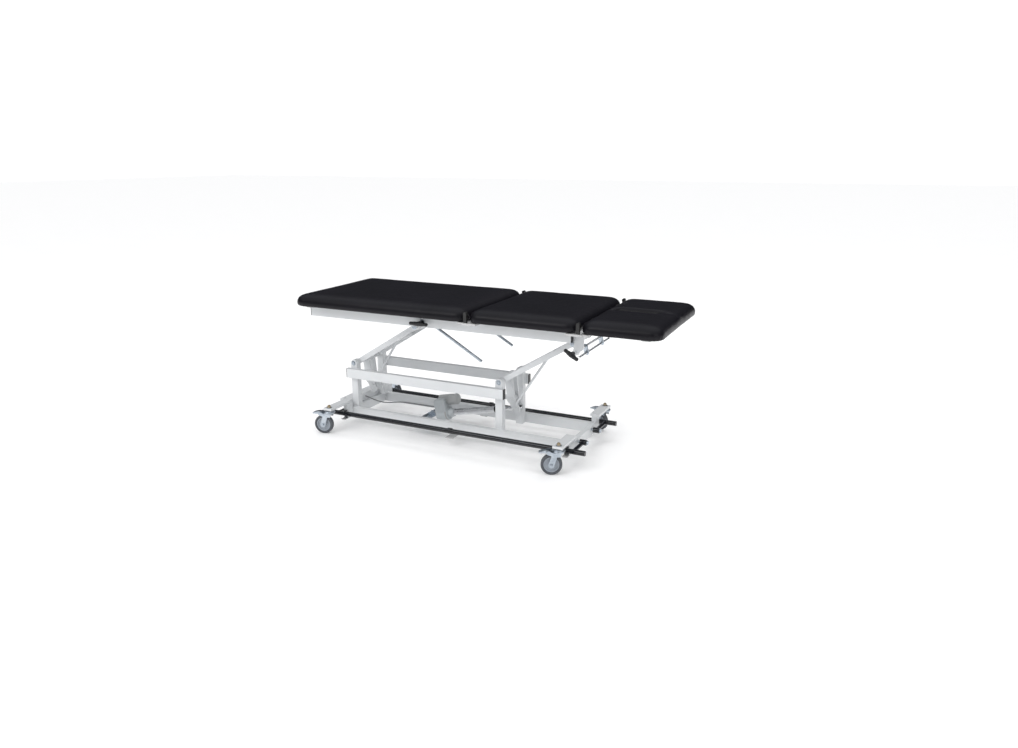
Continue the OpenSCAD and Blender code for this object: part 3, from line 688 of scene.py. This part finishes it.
pin = Vector(JOINT["release_lever_turn"]["pos_m"])
rel_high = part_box("head_release_lever")[1]
rel_y = -290 * MM
rel_grip = t_handle("release_lever", (pin.x, rel_y, pin.z), math.radians(-33), 40 * MM,
                    rel_high.y, "release_lever")
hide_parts("head_release_lever")
far = pin + Vector((8 * MM, 0, -30 * MM))
cross_y = 214 * MM
rod("release_lever_cross_rod", (far.x, -cross_y, far.z), (far.x, cross_y, far.z), 6 * MM, ROD,
    "release_lever")
for side in (-1, 1):
    ya, yb = sorted((side * 104 * MM, side * 110 * MM))
    tag = "near" if side < 0 else "far"
    plate = oval((pin.x, pin.z), (far.x, far.z), 12 * MM)
    slab(f"release_link_{tag}", plate, ya, yb, ZINC, "release_lever")
    for label, c in (("upper", pin), ("lower", far)):
        y = yb if side > 0 else ya
        hexagon(f"release_nut_{tag}_{label}", (c.x, y, c.z), (0, side, 0), 10 * MM, 6 * MM, ZINC,
                "release_lever")


# ---------- Pivot bolts ----------

def bolt_head(name, at, out, r, h, body):
    """A washer and a domed head with a shallow socket."""
    w = 1.2 * r
    profile = ([(1e-7, 0), (w, 0), (w, 0.16 * r), (0.98 * r, 0.2 * r)]
               + arc(r - 0.4 * r, h - 0.4 * r, 0.4 * r, 0, 80, 5)
               + [(0.35 * r, h), (0.3 * r, 0.6 * h), (1e-7, 0.6 * h)])
    lathe(name, at, out, profile, ZINC, body, 36)


lift = JOINT["lift"]["pos_m"]
leg_pivot = JOINT["leg_arm_swing"]["pos_m"]
level = JOINT["top_level"]["pos_m"]
shift = leg_pivot[0] - lift[0]
head_r, head_h = 10.5 * MM, 8 * MM
post_y, bracket_y = 140 * MM, 110 * MM
for side in (-1, 1):
    tag = "near" if side < 0 else "far"
    for label, at in (("leg", leg_pivot), ("head", lift)):
        bolt_head(f"{label}_pivot_{tag}", (at[0], side * post_y, at[2]), (0, side, 0),
                  head_r, head_h, "root")
    for label, dx in (("leg", shift), ("head", 0)):
        bolt_head(f"{label}_upper_{tag}", (level[0] + dx, side * bracket_y, level[2]), (0, side, 0),
                  head_r, head_h, "top_frame")


# ---------- Actuator ----------

def make_actuator():
    """Moulded gear housing, motor barrel with a cap, flange and collar, about the CAD axis."""
    slide = JOINT["actuator_extend"]
    start, along = Vector(slide["pos_m"]), Vector(slide["axis"]).normalized()
    up = Vector((-along.z, 0, along.x))
    body = "actuator"

    def at(s, h=0.0, y=0.0):
        return start + along * s * MM + up * h * MM + Vector((0, y * MM, 0))

    gear = ([(1e-7, 0), (28 * MM, 0)] + arc(30 * MM, 8 * MM, 8 * MM, -90, 0) + [(38 * MM, 40 * MM)]
            + arc(34 * MM, 66 * MM, 4 * MM, 0, 90)
            + [(33 * MM, 70 * MM), (33 * MM, 74 * MM), (1e-7, 74 * MM)])
    housing = lathe("gear_housing", at(22), along, gear, SHELL, body, 64)
    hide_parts("actuator_motor")
    flange = [(1e-7, 0), (37 * MM, 0), (38.5 * MM, 1.5 * MM), (38.5 * MM, 6 * MM),
              (36 * MM, 8 * MM), (1e-7, 8 * MM)]
    lathe("gear_flange", at(82), along, flange, BROWN, body, 64)
    collar = [(1e-7, 0), (27 * MM, 0), (25 * MM, 10 * MM), (23 * MM, 26 * MM), (21 * MM, 34 * MM),
              (17.5 * MM, 36 * MM), (1e-7, 36 * MM)]
    lathe("tube_collar", at(89), along, collar, SHELL, body, 64)
    barrel = ([(1e-7, 0), (22 * MM, 0)] + arc(23 * MM, 6 * MM, 6 * MM, -90, 0)
              + [(29 * MM, 60 * MM), (27.5 * MM, 61 * MM), (27.5 * MM, 64 * MM), (29 * MM, 65 * MM)]
              + arc(17 * MM, 104 * MM, 12 * MM, 0, 90) + [(1e-7, 116 * MM)])
    lathe("motor_barrel", at(40, 68, 16), along, barrel, MOTOR, body, 64)
    corners = ([(24, 0), (92, 0), (92, 80)] + arc(62, 56, 30, 80, 100, 3)
               + arc(44, 64, 20, 100, 175, 6))
    outline = [(at(s, h).x, at(s, h).z) for s, h in corners]
    slab("gear_bridge", outline, -36 * MM, 37 * MM, SHELL, body, 7 * MM)
    yoke = oval((at(0).x, at(0).z), (at(28).x, at(28).z), 12.5 * MM)
    slab("rear_yoke", yoke, -12 * MM, 12 * MM, SHELL, body, 1.5 * MM)
    rib_y, screw_r = 36.2, 31
    for k in range(5):
        for s, tag in ((-1, "near"), (1, "far")):
            along_s = 40 + 10 * k
            rod(f"gear_rib_{k + 1}_{tag}", at(along_s, 12, s * rib_y), at(along_s, 66, s * rib_y),
                1.2 * MM, SHELL, body, steps=10)
    for k in range(4):
        a = math.radians(45 + 90 * k)
        bolt_head(f"gear_screw_{k + 1}", at(90, screw_r * math.sin(a), screw_r * math.cos(a)), along,
                  3.2 * MM, 3 * MM, body)
    wiper = [(10.4 * MM, 0), (18.5 * MM, 0), (19 * MM, 1.5 * MM), (19 * MM, 7 * MM), (14 * MM, 10 * MM),
             (10.4 * MM, 10 * MM), (10.4 * MM, 0)]
    lathe("ram_wiper", at(370), along, wiper, JET, body, 48)


make_actuator()
